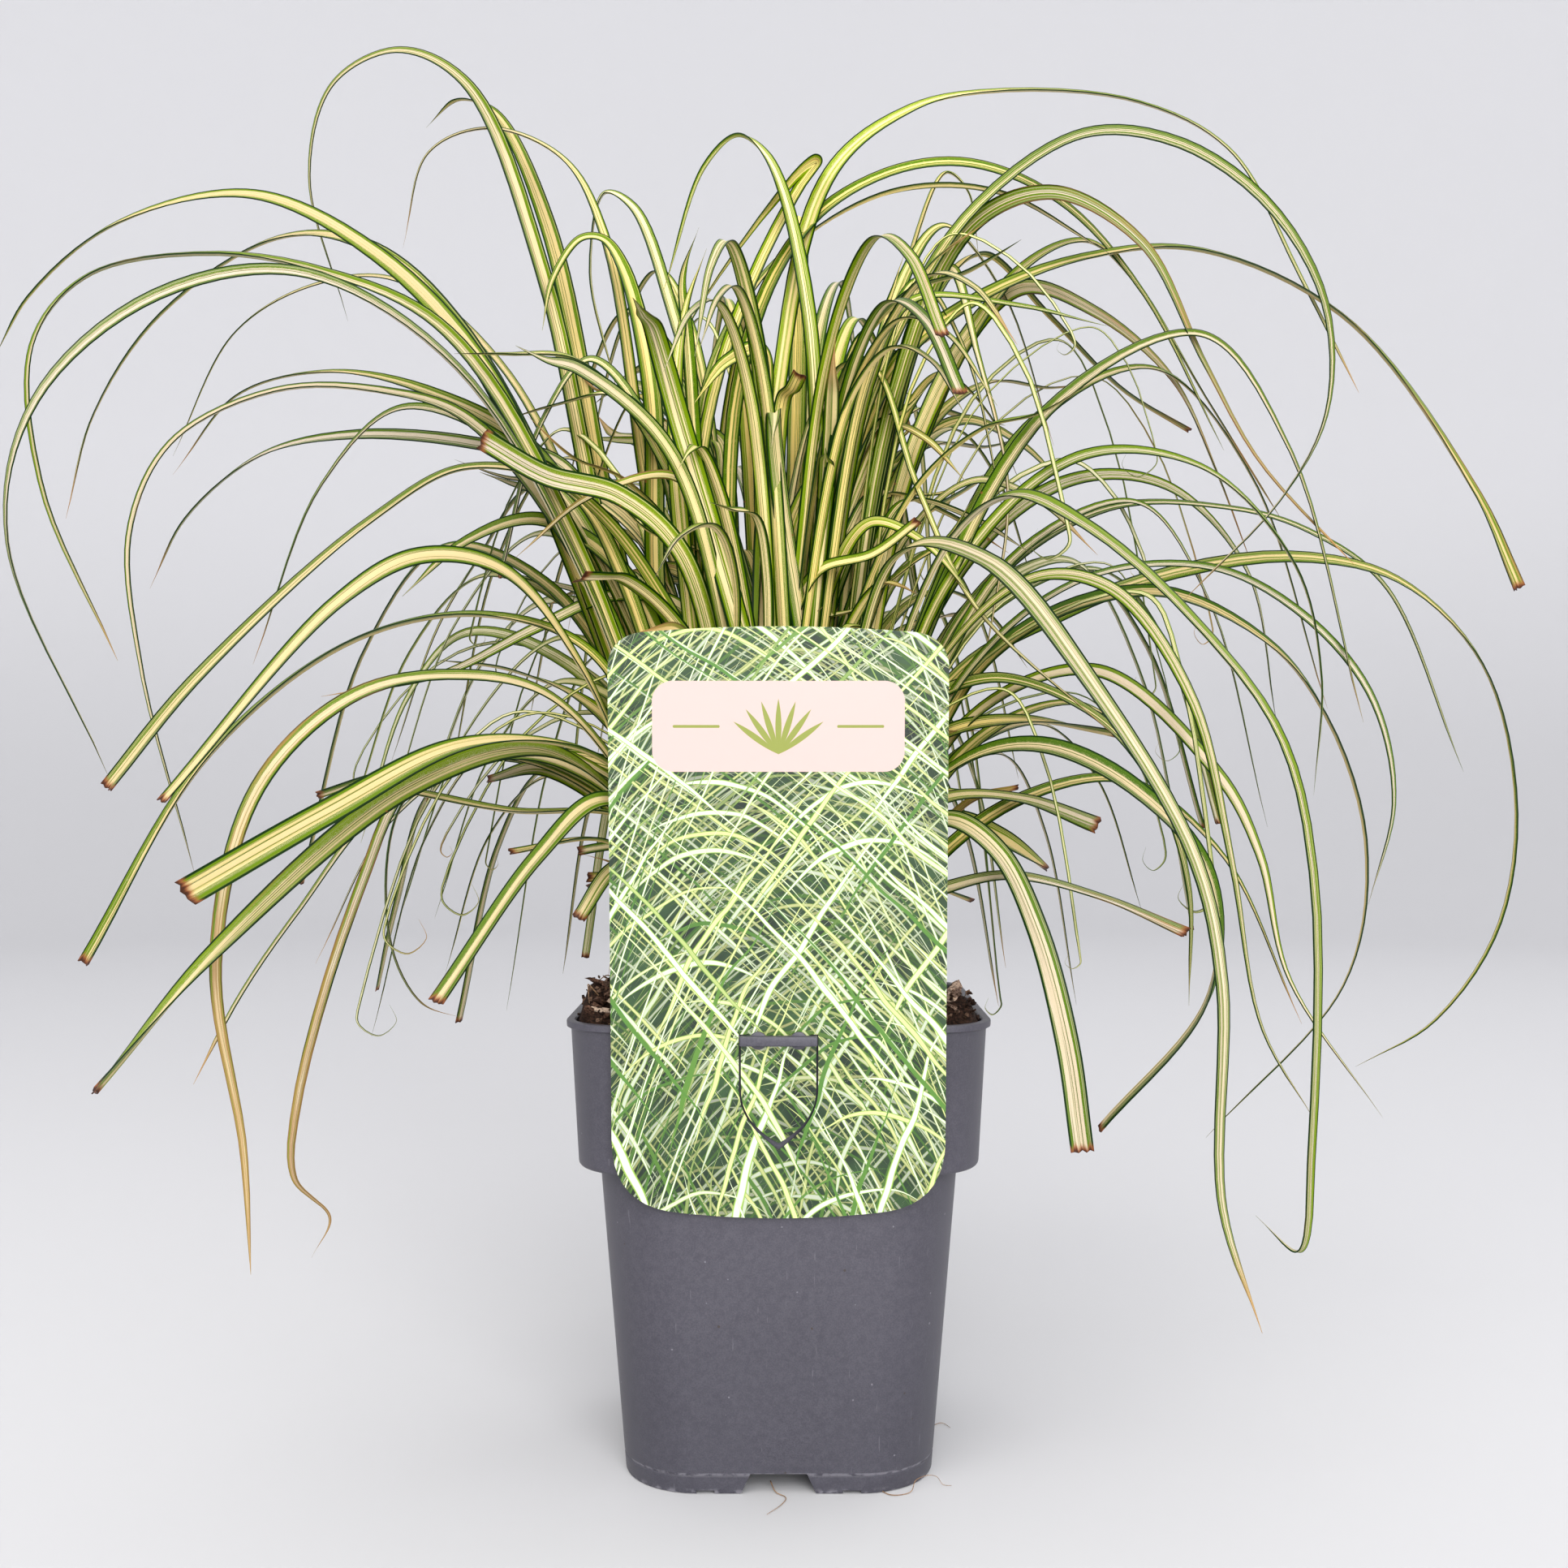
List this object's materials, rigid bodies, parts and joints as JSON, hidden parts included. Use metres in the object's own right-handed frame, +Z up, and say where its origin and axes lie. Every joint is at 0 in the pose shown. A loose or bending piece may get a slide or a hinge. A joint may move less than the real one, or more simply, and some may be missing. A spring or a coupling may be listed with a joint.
{
  "type": "potted carex sedge",
  "caption": "Tuft of arching variegated sedge blades in a tapered square nursery pot with soil and a hanging label card.",
  "frame": {"origin": "on the surface the pot stands on, under the middle of the whole plant, which is the pot's axis to within 2 mm", "axes": "+Z up, +X to the right seen from the label's side, -Y towards the front, where the label hangs"},
  "size_m": [0.5893, 0.431, 0.5494],
  "materials": {
    "pot_plastic": "moulded grey plastic with a fine grain, small scuffs and specks",
    "bark_soil": "dark bark chips, peat and fibres, rough and matt",
    "sedge_leaf": "striped blades, cream to yellow in the middle with green margins, satin, brown where cut",
    "label_card": null
  },
  "bodies": {
    "root": {"pot": "pot_plastic", "soil": "bark_soil", "foliage": "sedge_leaf", "label": "label_card"}
  },
  "joints": []
}
